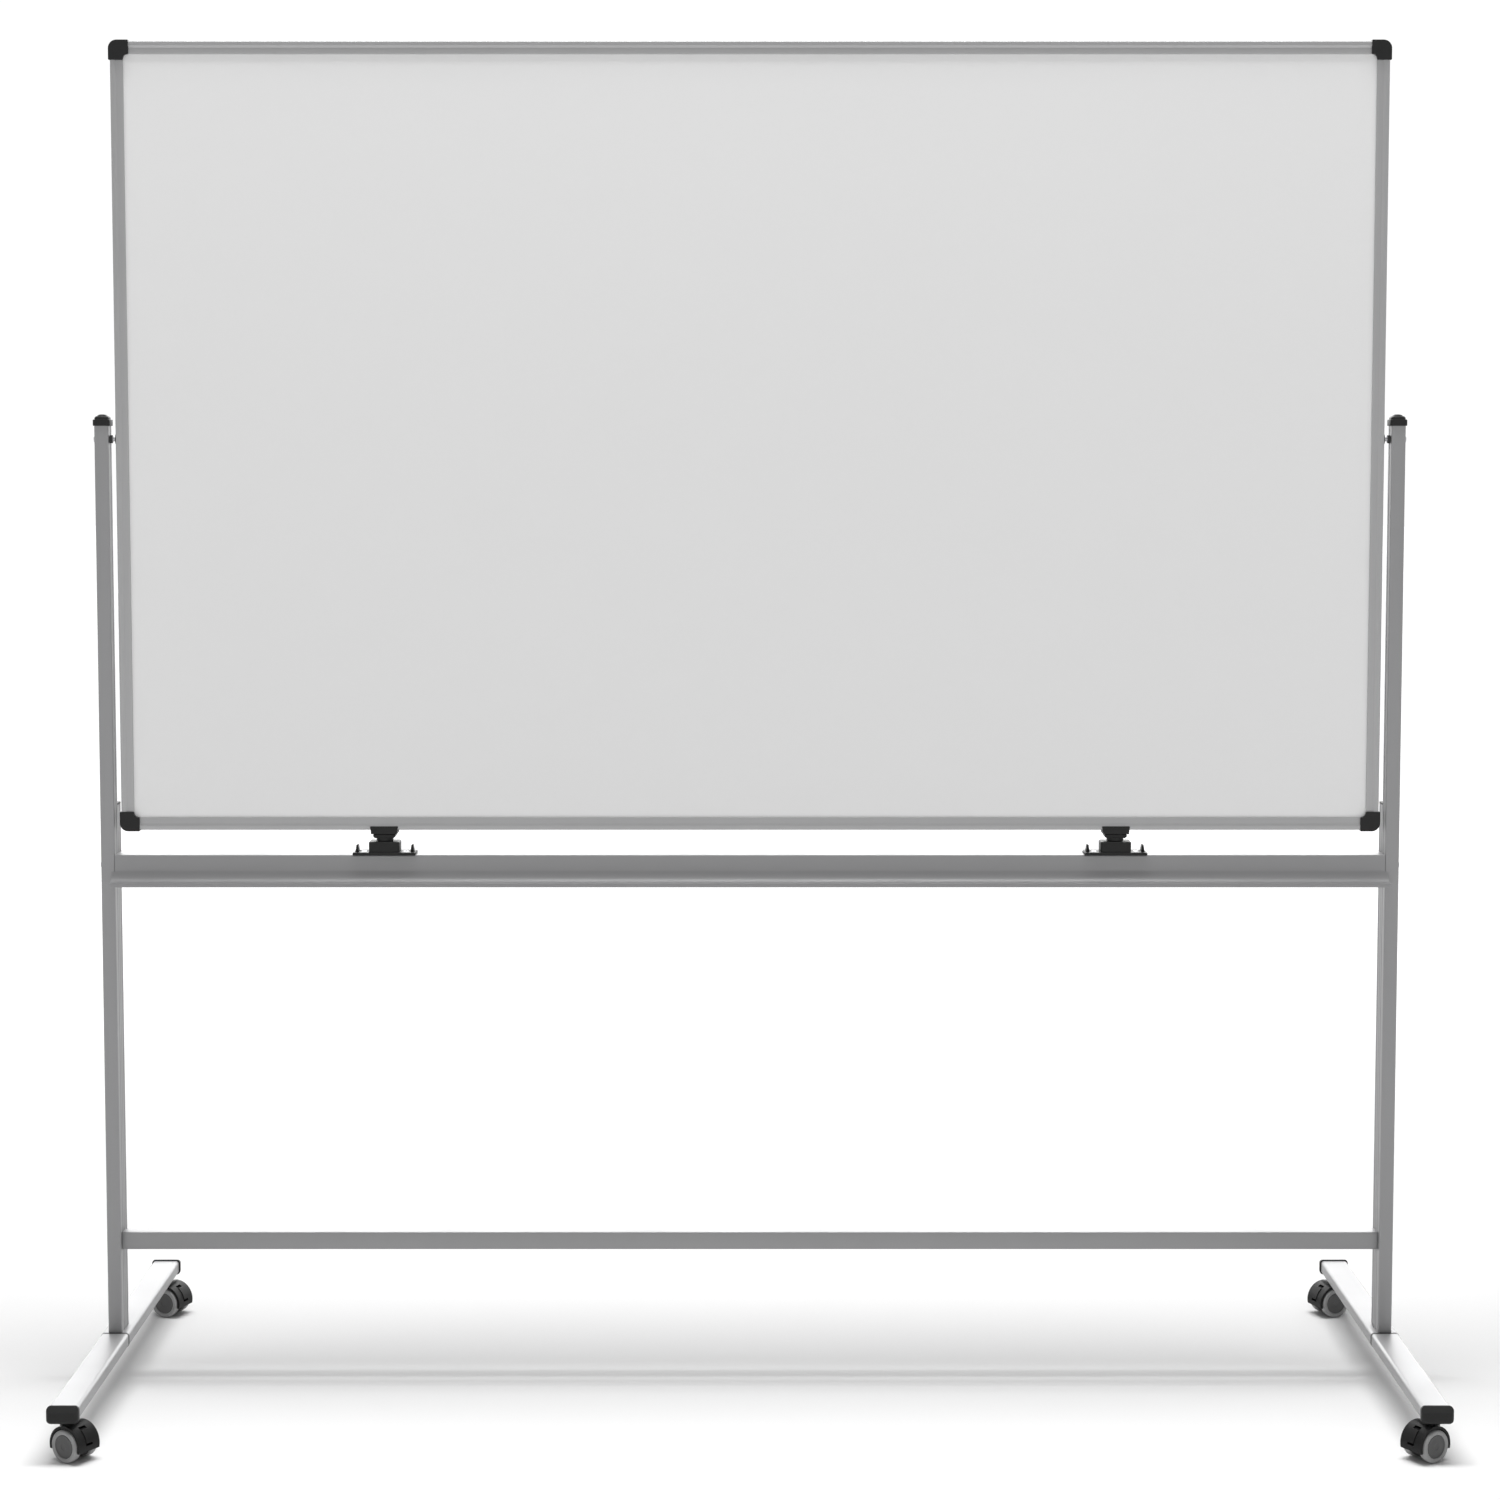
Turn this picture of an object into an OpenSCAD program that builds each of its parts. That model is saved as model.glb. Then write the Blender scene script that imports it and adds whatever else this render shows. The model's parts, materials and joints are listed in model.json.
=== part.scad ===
// Rolling whiteboard: a two-sided board that flips end over end between two legs,
// on a stand with a marker tray, two release latches and four swivel casters.
// Millimetres. The origin is on the floor under the middle of the stand,
// +X is the user's right, -Y is the front and +Z is up.

/* [Board] */
// Width of the board over its frame
board_w = 1800; // [1200:10:1800]
// Height of the board over its frame
board_h = 1116; // [1080:2:1116]
// Thickness of the board's frame
board_t = 22; // [20:1:24]
// Width of the frame's face
frame_face = 18; // [16:1:20]

/* [Stand] */
// Height of the pivot above the floor
pivot_h = 1369; // [1369:1:1400]
// Width of a leg tube
leg_w = 20; // [18:1:24]
// Depth of the leg tube that carries the pivot
leg_d = 25; // [24:1:28]
// Depth of the shorter tube behind it
stiffener_d = 22; // [20:1:26]
// Height of the top of the shorter tube
stiffener_top = 844; // [800:1:900]
// Gap between a leg and the board's edge
leg_gap = 10; // [8:1:14]
// Length of a foot over its end caps
foot_l = 720; // [600:10:800]
// Width of a foot tube
foot_w = 40; // [36:1:50]
// Height of a foot tube
foot_h = 20; // [18:1:25]

/* [Crossbars] */
// Height of the top of the tray beam
beam_top = 775; // [760:1:775]
// Depth of the tray's gutter from beam to lip
gutter_d = 26.5; // [24:0.5:40]
// Height of the top of the lower crossbar
bar_top = 222; // [150:1:400]
// Side of the square lower crossbar
bar_side = 25; // [25:1:30]

/* [Latches] */
// Distance of each latch from the middle
latch_x = 524; // [200:2:540]
// Lift of the latch head
latch_lift = 4.4; // [3:0.2:4.4]

/* [Casters] */
// Diameter of a wheel
wheel_d = 45; // [42:1:46]
// Height of a caster from the floor to the foot
caster_h = 57; // [57:1:66]
// Distance from the swivel axis to the axle
trail = 13; // [10:1:15]
// Distance from a foot's end to the swivel axis
caster_inset = 32; // [30:1:60]
// Swivel angle of the front casters at rest
front_swivel = 32; // [0:1:90]
// Swivel angle of the rear casters at rest
rear_swivel = 21; // [0:1:90]

/* [Hidden] */
$fn = 64;

// Colours
ALUMINIUM = [0.62, 0.62, 0.63];
BLACK = [0.12, 0.12, 0.12];
DARK_GREY = [0.25, 0.25, 0.26];
TYRE_GREY = [0.45, 0.45, 0.45];
ENAMEL = [0.88, 0.88, 0.88];
STEEL = [0.5, 0.5, 0.52];
NYLON = [0.85, 0.84, 0.8];

// Play between pieces that are pressed, screwed or slid together at assembly
play = 0.05;

// Board
bead_w = 6;             // width of the frame's raised outer bead
bevel_w = 3;            // width of the bevel down to the inner flat
bead_rise = 1.6;        // height of the bead above the inner flat
slot_u = 6;             // distance from the frame's edge to its panel slot
sheet_t = 0.5;          // enamelled steel sheets
panel_t = board_t - 8;  // sheets and core together
panel_inset = slot_u + 2;
board_bottom = pivot_h - board_h / 2;
cap_skin = 2;           // corner caps over the frame
cap_leg = 28;           // length of a corner cap's legs
bar_stop = frame_face + 2; // distance from the board's corner to the end of a frame bar
cap_r = 12;             // outer corner radius of a corner cap
cap_fillet = 7;         // size of the fillet inside a corner cap's elbow

// Stand
leg_in = board_w / 2 + leg_gap;
leg_out = leg_in + leg_w;
stand_d = leg_d + stiffener_d;
leg_y = -stand_d / 2 + leg_d / 2;            // middle of the pivot leg tube
stiffener_y = stand_d / 2 - stiffener_d / 2; // middle of the tube behind it
pivot_y = leg_y;
leg_top = pivot_h + 19;
tube_wall = 1.6;
foot_top = caster_h + foot_h;
foot_x = leg_in + leg_w / 2;
foot_wall = 2;
foot_cap_skin = 2;
foot_cap_d = 10;
foot_tube_end = foot_l / 2 - 6;
joiner_t = 1.5;
joint_y = -stand_d / 2;                      // where a foot's two tubes meet

// Fasteners
bolt_r = 3;
bolt_head_r = 6;
bolt_head_h = 2.4;
nut_af = 10;
nut_h = 4;
screw_r = 2.5;
screw_head_r = 5;
screw_head_h = 2.4;
boss_r = 4.6;

// Pivot bushes
bush_r = 6;
bush_flange_r = 7.5;
bush_flange_t = 1.5;
bush_l = 24;

// Tray beam
beam_h = 31;
beam_wall = 1.8;
gutter_r = 20;
gutter_t = 2;
lip_h = 6;
lip_t = 2;
gutter_over = 5;        // how far the gutter runs on in front of each leg
beam_front = -stand_d / 2;
gutter_z = beam_top - 41; // top of the gutter's floor

// Latches
plate_w = 90;
plate_d = 34;
plate_t = 4;
block_w = 44;
block_d = 30;
block_h = 15;
neck_r = 9;
ear_d = 12;
latch_screw_x = 30;
latch_screw_r = 2;
latch_screw_l = 10;     // length of a latch screw in the beam
head_z = beam_top + plate_t + block_h + 5;
head_h = 5.2;
shoe_lip = 5;           // how far a shoe reaches up the frame
shoe_skin = 2.5;
shoe_bottom = head_z + head_h + 0.8;

// Casters, in a frame whose Z axis is the swivel axis and whose Y axis is along the axle
wheel_r = wheel_d / 2;
hood_r = wheel_r + 5;
hood_half = 19;         // half the hood's width
web_half = 8;           // half the width of the hood's middle
wheel_in = 9.3;         // where a wheel starts along the axle
wheel_out = 21.5;
hub_r = 16;
axle_r = 3;
stem_r = 4;
lever_r = 1.5;          // the brake lever's trunnions

// ---- helpers ----

module rounded_rect(w, h, r) {
    square([w - 2 * r, h], center = true);
    square([w, h - 2 * r], center = true);
    for (x = [-1, 1], y = [-1, 1])
        translate([x * (w / 2 - r), y * (h / 2 - r)]) circle(r);
}

// A rounded tube of outer size w by d, standing on z = 0
module tube(w, d, r, wall, length) {
    linear_extrude(length)
        difference() {
            rounded_rect(w, d, r);
            square([w - 2 * wall, d - 2 * wall], center = true);
        }
}

// A copy at the left and its mirror image at the right; the child is drawn for the left
module both_sides() {
    children();
    mirror([1, 0, 0]) children();
}

// Turns a child that is drawn upwards so that it points along +X
module along_x() {
    rotate([0, 90, 0]) children();
}

// Screw with a low head, pointing along +Z from the underside of its head
module screw(r, length, head_r, head_h) {
    cylinder(r = r, h = length);
    difference() {
        translate([0, 0, -head_h]) cylinder(r1 = head_r - 1.5, r2 = head_r, h = head_h);
        translate([0, 0, -head_h - 1]) cylinder(r = r * 0.75, h = 2.2, $fn = 6);
    }
}

// ---- board ----

// Section of the frame: u runs in from the outer edge along X, v is across the board along Y
module frame_outline() {
    half = board_t / 2;
    flat = half - bead_rise;
    polygon([
        [0, -half + 1], [1, -half], [bead_w, -half], [bead_w + bevel_w, -flat],
        [frame_face, -flat], [frame_face, flat],
        [bead_w + bevel_w, flat], [bead_w, half], [1, half], [0, half - 1]
    ]);
}

module frame_section() {
    difference() {
        frame_outline();
        translate([slot_u, -panel_t / 2 - play]) square([frame_face, panel_t + 2 * play]);
        translate([tube_wall, 2 - board_t / 2]) square([slot_u - 2 * tube_wall, board_t - 4]);
    }
}

// Lays a section along one side of the board, starting at the middle of that side.
// turn is 0 for the left side, 90 for the bottom, 180 for the right and 270 for the top.
module on_side(turn) {
    out = turn % 180 == 0 ? board_w / 2 : board_h / 2;
    translate([0, pivot_y, pivot_h])
        rotate([0, -turn, 0])
            translate([-out, 0, 0])
                children();
}

module frame_bar(turn) {
    length = (turn % 180 == 0 ? board_h : board_w) - 2 * bar_stop;
    color(ALUMINIUM) on_side(turn)
        translate([0, 0, -length / 2]) linear_extrude(length) frame_section();
}

module frame_top() { frame_bar(270); }
module frame_bottom() { frame_bar(90); }

module drilled_side(turn) {
    color(ALUMINIUM) difference() {
        frame_bar(turn);
        on_side(turn) translate([-1, 0, 0]) along_x() cylinder(r = bush_r + play, h = frame_face + 2);
    }
}

module frame_left() { drilled_side(0); }
module frame_right() { drilled_side(180); }

// Outline of a corner cap, its corner at the origin and its legs along +X and +Y
module corner_outline() {
    leg = cap_leg - cap_skin;
    difference() {
        union() {
            translate([cap_r - cap_skin, -cap_skin]) square([cap_leg - cap_r, frame_face + cap_skin]);
            translate([-cap_skin, cap_r - cap_skin]) square([frame_face + cap_skin, cap_leg - cap_r]);
            translate([cap_r - cap_skin, cap_r - cap_skin]) circle(cap_r);
            polygon([
                [0, 0], [frame_face + cap_fillet, 0], [frame_face + cap_fillet, frame_face],
                [frame_face + 0.3 * cap_fillet, frame_face + 0.3 * cap_fillet],
                [frame_face, frame_face + cap_fillet], [0, frame_face + cap_fillet]
            ]);
        }
        translate([leg, frame_face]) square([cap_leg, cap_leg]);
        translate([frame_face, leg]) square([cap_leg, cap_leg]);
    }
}

// The cap of the lower left corner, with its corner at the origin, X inwards and Z upwards
module corner_cap() {
    thick = board_t + 2 * cap_skin;
    difference() {
        rotate([90, 0, 0]) translate([0, 0, -thick / 2]) linear_extrude(thick) corner_outline();
        translate([0, 0, bar_stop]) linear_extrude(cap_leg) frame_outline();
        translate([bar_stop + cap_leg, 0, 0]) rotate([0, -90, 0])
            linear_extrude(cap_leg) frame_outline();
        translate([panel_inset - play, -panel_t / 2 - play, panel_inset - play])
            cube([cap_leg, panel_t + 2 * play, cap_leg]);
    }
}

module corner_caps() {
    color(BLACK) translate([0, pivot_y, pivot_h])
        for (x = [0, 1], z = [0, 1])
            mirror([x, 0, 0]) mirror([0, 0, z])
                translate([-board_w / 2, 0, -board_h / 2]) corner_cap();
}

// A slab that fills the frame, from v0 to v1 across the board
module slab(v0, v1) {
    w = board_w - 2 * panel_inset;
    h = board_h - 2 * panel_inset;
    translate([-w / 2, pivot_y + v0, pivot_h - h / 2]) cube([w, v1 - v0, h]);
}

module front_panel() {
    color(ENAMEL) slab(-panel_t / 2, sheet_t - panel_t / 2);
}

module rear_panel() {
    color(ENAMEL) slab(panel_t / 2 - sheet_t, panel_t / 2);
}

module board_core() {
    color(NYLON) difference() {
        slab(sheet_t - panel_t / 2, panel_t / 2 - sheet_t);
        both_sides() translate([-board_w / 2, pivot_y, pivot_h]) along_x()
            cylinder(r = bush_r + play, h = bush_l + 1);
    }
}

module pivot_bushes() {
    color(NYLON) both_sides() translate([-board_w / 2, pivot_y, pivot_h]) along_x()
        difference() {
            union() {
                cylinder(r = bush_r, h = bush_l);
                translate([0, 0, -bush_flange_t]) cylinder(r = bush_flange_r, h = bush_flange_t);
            }
            translate([0, 0, -bush_flange_t - 1]) cylinder(r = bolt_r + play, h = bush_l + 10);
        }
}

// A shoe that wraps the frame's lower edge and takes the latch head in its underside
module strike_shoe() {
    top = board_bottom + shoe_lip;
    depth = board_t + 2 * shoe_skin;
    difference() {
        translate([0, depth / 2, 0]) rotate([90, 0, 0]) linear_extrude(depth)
            polygon([
                [-18.5, shoe_bottom], [18.5, shoe_bottom], [19, board_bottom + 1],
                [20, top - 1], [20, top], [-20, top], [-20, top - 1], [-19, board_bottom + 1]
            ]);
        translate([-25, -board_t / 2 - play, board_bottom]) cube([50, board_t + 2 * play, 20]);
        translate([-17, -12, shoe_bottom - 1]) cube([34, 24, latch_lift + 0.4 + 1]);
    }
}

module strike_shoes() {
    color(BLACK) both_sides() translate([-latch_x, pivot_y, 0]) strike_shoe();
}

// ---- stand ----

// Bores the left leg at height z and depth y with a hole along X
module leg_bore(y, z, r) {
    translate([-leg_out - 1, y, z]) along_x() cylinder(r = r, h = leg_w + 2);
}

// Heights and depths of the screws that hold the two crossbars to a leg
beam_screw_z = beam_top - beam_h / 2;
bar_screw_z = bar_top - bar_side / 2;
bar_screw_y = 7.5;

module leg() {
    color(ALUMINIUM) difference() {
        translate([-leg_in - leg_w / 2, leg_y, foot_top])
            tube(leg_w, leg_d, 1.5, tube_wall, leg_top - foot_top);
        leg_bore(pivot_y, pivot_h, bolt_r + play);
        leg_bore(leg_y, beam_screw_z, screw_r + play);
        leg_bore(-bar_screw_y, bar_screw_z, screw_r + play);
    }
}

module leg_left() { leg(); }
module leg_right() { mirror([1, 0, 0]) leg(); }

module leg_stiffeners() {
    color(ALUMINIUM) both_sides() difference() {
        translate([-leg_in - leg_w / 2, stiffener_y, foot_top])
            tube(leg_w, stiffener_d, 1.5, tube_wall, stiffener_top - foot_top);
        leg_bore(stiffener_y, beam_screw_z, screw_r + play);
        leg_bore(bar_screw_y, bar_screw_z, screw_r + play);
    }
}

// A low dome over a w by d rectangle, as high as h
module dome(w, d, h) {
    rx = (w * w / 4 + h * h) / (2 * h);
    ry = (d * d / 4 + h * h) / (2 * h);
    intersection() {
        translate([0, 0, h - rx]) rotate([90, 0, 0]) cylinder(r = rx, h = d, center = true);
        translate([0, 0, h - ry]) rotate([0, 90, 0]) cylinder(r = ry, h = w, center = true);
        translate([-w / 2, -d / 2, 0]) cube([w, d, h + 1]);
    }
}

module leg_end_caps() {
    plug_h = 12;
    fit = 2 * tube_wall + 2 * play;
    color(BLACK) both_sides() {
        // domed cap on the pivot leg tube
        translate([-leg_in - leg_w / 2, leg_y, leg_top]) {
            linear_extrude(9) rounded_rect(leg_w + 4, leg_d + 4, 3);
            translate([0, 0, 9]) dome(leg_w + 2, leg_d + 2, 8);
            translate([0, 0, -plug_h]) linear_extrude(plug_h + 1)
                square([leg_w - fit, leg_d - fit], center = true);
        }
        // flat plug on the shorter tube
        translate([-leg_in - leg_w / 2, stiffener_y, stiffener_top]) {
            linear_extrude(3) rounded_rect(leg_w, stiffener_d - 0.4, 1.5);
            translate([0, 0, -plug_h]) linear_extrude(plug_h + 1)
                square([leg_w - fit, stiffener_d - fit], center = true);
        }
    }
}

// Depths of the screws that come up through each foot into the legs
foot_screw_y = [leg_y, stiffener_y];

module leg_plugs() {
    plug_h = 25;
    fit = 2 * tube_wall + 2 * play;
    color(BLACK) both_sides() difference() {
        translate([-foot_x, 0, foot_top]) {
            translate([0, leg_y, 0]) linear_extrude(plug_h)
                square([leg_w - fit, leg_d - fit], center = true);
            translate([0, stiffener_y, 0]) linear_extrude(plug_h)
                square([leg_w - fit, stiffener_d - fit], center = true);
        }
        for (y = foot_screw_y)
            translate([-foot_x, y, foot_top - 1]) cylinder(r = screw_r + play, h = plug_h + 2);
    }
}

// Section of the tray beam: Y across, Z up; the gutter is in front, towards -Y
module beam_box() {
    inner = stand_d - 2 * beam_wall;
    bottom = beam_top - beam_h;
    difference() {
        translate([-stand_d / 2, bottom]) square([stand_d, beam_h]);
        translate([-inner / 2, bottom + beam_wall]) square([inner, beam_h - 2 * beam_wall]);
    }
    for (y = foot_screw_y) {
        translate([y - 1, bottom]) square([2, beam_h]);
        translate([y, beam_screw_z]) circle(boss_r);
    }
}

module gutter() {
    bend_y = beam_front - gutter_r;
    bend_z = gutter_z + gutter_r;
    lip_y = beam_front - gutter_d;
    intersection() {
        translate([bend_y, bend_z - gutter_r - gutter_t])
            square([gutter_r + gutter_t, gutter_r + gutter_t]);
        difference() {
            translate([bend_y, bend_z]) circle(gutter_r + gutter_t);
            translate([bend_y, bend_z]) circle(gutter_r);
        }
    }
    translate([lip_y, gutter_z - gutter_t]) square([bend_y - lip_y, gutter_t]);
    translate([lip_y, gutter_z - gutter_t]) square([lip_t, lip_h - lip_t / 2]);
    translate([lip_y + lip_t / 2, gutter_z - gutter_t + lip_h - lip_t / 2]) circle(lip_t / 2);
}

// Stretches a section drawn in Y and Z along X, from -half to half
module stretch_x(half) {
    translate([-half, 0, 0]) rotate([90, 0, 90]) linear_extrude(2 * half) children();
}

module tray_beam() {
    color(ALUMINIUM) {
        difference() {
            stretch_x(leg_in) {
                beam_box();
                gutter();
            }
            for (y = foot_screw_y)
                translate([-leg_in - 1, y, beam_screw_z]) along_x()
                    cylinder(r = screw_r + play, h = 2 * leg_in + 2);
            at_latches() for (x = [-latch_screw_x, latch_screw_x])
                translate([x, 0, -latch_screw_l]) cylinder(r = latch_screw_r + play, h = latch_screw_l + 1);
        }
        intersection() {
            stretch_x(leg_in + gutter_over) gutter();
            translate([-leg_out, beam_front - 0.2 - 2 * gutter_d, 0])
                cube([2 * leg_out, 2 * gutter_d, beam_top]);
        }
    }
}

module lower_crossbar() {
    color(ALUMINIUM) difference() {
        stretch_x(leg_in) translate([0, bar_screw_z]) {
            difference() {
                rounded_rect(bar_side, bar_side, 1.5);
                square(bar_side - 2 * beam_wall, center = true);
            }
            for (y = [-bar_screw_y, bar_screw_y])
                translate([y, 0]) circle(boss_r);
        }
        for (y = [-bar_screw_y, bar_screw_y])
            translate([-leg_in - 1, y, bar_screw_z]) along_x()
                cylinder(r = screw_r + play, h = 2 * leg_in + 2);
    }
}

// A foot tube of the left foot, from y0 to y1
module foot_tube(y0, y1) {
    translate([-foot_x, y1, caster_h + foot_h / 2]) rotate([90, 0, 0])
        tube(foot_w, foot_h, 4, foot_wall, y1 - y0);
}

module stem_hole(y) {
    translate([-foot_x, y, caster_h - 1]) cylinder(r = 6 + play, h = foot_wall + 2);
}

module foot_front() {
    color(ALUMINIUM) difference() {
        foot_tube(-foot_tube_end, joint_y - joiner_t);
        stem_hole(-foot_l / 2 + caster_inset);
        translate([-foot_x, joint_y - 22, caster_h - 1]) cylinder(r = screw_r + play, h = foot_wall + 2);
    }
}

module foot_rear() {
    color(ALUMINIUM) difference() {
        foot_tube(joint_y, foot_tube_end);
        stem_hole(foot_l / 2 - caster_inset);
        for (y = foot_screw_y)
            translate([-foot_x, y, caster_h - 1]) cylinder(r = screw_r + play, h = foot_h + 2);
    }
}

module foot_front_left() { foot_front(); }
module foot_front_right() { mirror([1, 0, 0]) foot_front(); }
module foot_rear_left() { foot_rear(); }
module foot_rear_right() { mirror([1, 0, 0]) foot_rear(); }

// A plug inside both tubes of a foot, with a thin collar between them
module foot_joiners() {
    w = foot_w - 2 * foot_wall - 2 * play;
    h = foot_h - 2 * foot_wall - 2 * play;
    front_arm = 40;
    rear_arm = stand_d + 8;
    color(BLACK) both_sides() difference() {
        translate([-foot_x, 0, caster_h + foot_h / 2]) {
            translate([0, joint_y + rear_arm, 0]) rotate([90, 0, 0])
                linear_extrude(rear_arm + joiner_t + front_arm) square([w, h], center = true);
            translate([0, joint_y, 0]) rotate([90, 0, 0])
                linear_extrude(joiner_t) rounded_rect(foot_w + 0.6, foot_h + 0.6, 4.3);
        }
        for (y = [foot_screw_y[0], foot_screw_y[1], joint_y - 22])
            translate([-foot_x, y, caster_h - 1]) cylinder(r = screw_r + play, h = foot_h + 2);
    }
}

// The end cap of a foot's front end: rounded from the front, from above and from the side
module foot_end_cap() {
    w = foot_w + 2 * foot_cap_skin;
    h = foot_h + 2 * foot_cap_skin;
    r = 6;
    end = foot_l / 2;
    arm = 22;
    translate([-foot_x, 0, caster_h + foot_h / 2]) {
        difference() {
            intersection() {
                translate([0, foot_cap_d - end, 0]) rotate([90, 0, 0])
                    linear_extrude(foot_cap_d) rounded_rect(w, h, r);
                translate([0, 20 - end, -h / 2]) linear_extrude(h) rounded_rect(w, 40, r);
                translate([-w / 2, 20 - end, 0]) rotate([90, 0, 90])
                    linear_extrude(w) rounded_rect(40, h, r);
            }
            translate([0, 40 - end, 0]) rotate([90, 0, 0])
                linear_extrude(34) rounded_rect(foot_w + 2 * play, foot_h + 2 * play, 4);
        }
        translate([0, arm - end, 0]) rotate([90, 0, 0]) linear_extrude(arm - 5)
            square([foot_w - 2 * foot_wall - 2 * play, foot_h - 2 * foot_wall - 2 * play], center = true);
    }
}

module foot_end_caps() {
    color(BLACK) both_sides() {
        foot_end_cap();
        mirror([0, 1, 0]) foot_end_cap();
    }
}

module pivot_bolts() {
    color(STEEL) both_sides() translate([-leg_out, pivot_y, pivot_h]) along_x()
        screw(bolt_r, leg_w + leg_gap + 20, bolt_head_r, bolt_head_h);
}

module pivot_nuts() {
    color(STEEL) both_sides() translate([-leg_in, pivot_y, pivot_h]) along_x()
        difference() {
            cylinder(d = nut_af / cos(30), h = nut_h, $fn = 6);
            translate([0, 0, -1]) cylinder(r = bolt_r + play, h = nut_h + 2);
        }
}

module stand_screws() {
    side_l = leg_w + 15;
    color(STEEL) both_sides() {
        translate([-leg_out, 0, 0]) {
            for (y = foot_screw_y)
                translate([0, y, beam_screw_z]) along_x() screw(screw_r, side_l, screw_head_r, screw_head_h);
            for (y = [-bar_screw_y, bar_screw_y])
                translate([0, y, bar_screw_z]) along_x() screw(screw_r, side_l, screw_head_r, screw_head_h);
        }
        translate([-foot_x, 0, caster_h]) {
            for (y = foot_screw_y)
                translate([0, y, 0]) screw(screw_r, foot_h + 20, screw_head_r, screw_head_h);
            translate([0, joint_y - 22, 0]) screw(screw_r, foot_h - 4, screw_head_r, screw_head_h);
        }
    }
}

// ---- latches ----

// A base plate with an ear near each end, and the block that guides the latch head
module latch_base() {
    side = plate_w / 2;
    difference() {
        union() {
            translate([0, plate_d / 2, 0]) rotate([90, 0, 0]) linear_extrude(plate_d)
                polygon([
                    [1 - side, 0], [side - 1, 0], [side, 1.5], [side - 0.6, plate_t],
                    [0.6 - side, plate_t], [-side, 1.5]
                ]);
            translate([0, ear_d / 2, 0]) rotate([90, 0, 0]) linear_extrude(ear_d)
                for (turn = [0, 1]) mirror([turn, 0]) {
                    translate([39.4, 13]) circle(1.2);
                    polygon([[36.6, plate_t - 1], [42.4, plate_t - 1], [40.4, 13.3], [38.4, 13.3]]);
                }
            translate([0, 0, plate_t - 1]) linear_extrude(block_h + 1) rounded_rect(block_w, block_d, 3);
        }
        translate([0, 0, plate_t]) cylinder(r = neck_r + play, h = block_h + 1);
        translate([0, 0, plate_t + 6]) cylinder(r = neck_r + 1.9, h = 2);
        for (x = [-latch_screw_x, latch_screw_x])
            translate([x, 0, -1]) {
                cylinder(r = latch_screw_r + play, h = plate_t + 2);
                translate([0, 0, plate_t - 1]) cylinder(r = 4 + play, h = 3);
            }
    }
}

module at_latches() {
    both_sides() translate([-latch_x, pivot_y, beam_top]) children();
}

module latch_bases() {
    color(BLACK) at_latches() latch_base();
}

module latch_rings() {
    color(DARK_GREY) at_latches() translate([0, 0, plate_t + 7])
        rotate_extrude() translate([neck_r + play + 0.92, 0]) circle(0.9, $fn = 32);
}

module latch_screws() {
    color(STEEL) at_latches() for (x = [-latch_screw_x, latch_screw_x])
        translate([x, 0, plate_t]) rotate([180, 0, 0]) difference() {
            union() {
                cylinder(r = 4, h = 2);
                cylinder(r = latch_screw_r, h = plate_t + latch_screw_l - 0.2);
            }
            translate([0, 0, -1]) cylinder(r = 1.5, h = 2, $fn = 6);
        }
}

// Head and neck of the left latch, in its lowered place
module latch_head() {
    neck_bottom = plate_t + 0.5;
    color(BLACK) translate([-latch_x, pivot_y, 0]) {
        translate([0, 0, beam_top + neck_bottom])
            cylinder(r = neck_r, h = head_z - beam_top - neck_bottom + 1);
        translate([0, 11, head_z]) rotate([90, 0, 0]) linear_extrude(22)
            polygon([
                [-13, 0], [13, 0], [15, 0.7], [15.6, 2.2],
                [16, head_h], [-16, head_h], [-15.6, 2.2], [-15, 0.7]
            ]);
    }
}

module latch_head_left() { latch_head(); }
module latch_head_right() { mirror([1, 0, 0]) latch_head(); }

// ---- casters ----

// Puts a caster's piece in its place; side is -1 left or 1 right, end is -1 front or 1 rear
module at_caster(side, end) {
    swivel = end < 0 ? front_swivel : rear_swivel;
    mirror([side > 0 ? 1 : 0, 0, 0])
        translate([-foot_x, end * (foot_l / 2 - caster_inset), 0])
            rotate([0, 0, -swivel])
                children();
}

// A cylinder on the axle's line, from y0 to y1
module on_axle(r, y0, y1) {
    translate([trail, y0, wheel_r]) rotate([-90, 0, 0]) cylinder(r = r, h = y1 - y0);
}

module caster_stems() {
    color(STEEL) for (side = [-1, 1], end = [-1, 1])
        at_caster(side, end) {
            translate([0, 0, caster_h - 20]) cylinder(r = stem_r, h = 21);
            translate([0, 0, caster_h]) cylinder(r = 6, h = foot_h - foot_wall - 1);
            translate([0, 0, caster_h - 2]) cylinder(r = 9, h = 2);
        }
}

// Where the brake lever turns
lever_x = trail + 18.5;
lever_z = wheel_r + 7;

module hood() {
    cut = 16;
    difference() {
        union() {
            intersection() {
                on_axle(hood_r, -hood_half, hood_half);
                translate([trail - 50, -50, cut]) cube([100, 100, 100]);
            }
            intersection() {
                on_axle(wheel_r - 2, -web_half, web_half);
                translate([trail - 50, -50, 6]) cube([100, 100, 100]);
            }
            translate([0, 0, caster_h - 22]) cylinder(r = 10, h = 19.6);
        }
        on_axle(wheel_r + 1.3, web_half, 50);
        on_axle(wheel_r + 1.3, -50, -web_half);
        on_axle(axle_r + play, -50, 50);
        translate([0, 0, caster_h - 21]) cylinder(r = stem_r + play, h = 30);
        // pocket and pivot of the brake lever
        intersection() {
            difference() {
                on_axle(hood_r + 5, -6, 6);
                on_axle(wheel_r - 9.5, -6, 6);
            }
            translate([trail + 6, -6, wheel_r + 1.5]) cube([40, 12, 23]);
        }
        translate([lever_x, -web_half + 0.2, lever_z]) rotate([-90, 0, 0])
            cylinder(r = lever_r + play, h = 2 * web_half - 0.4);
    }
}

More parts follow.
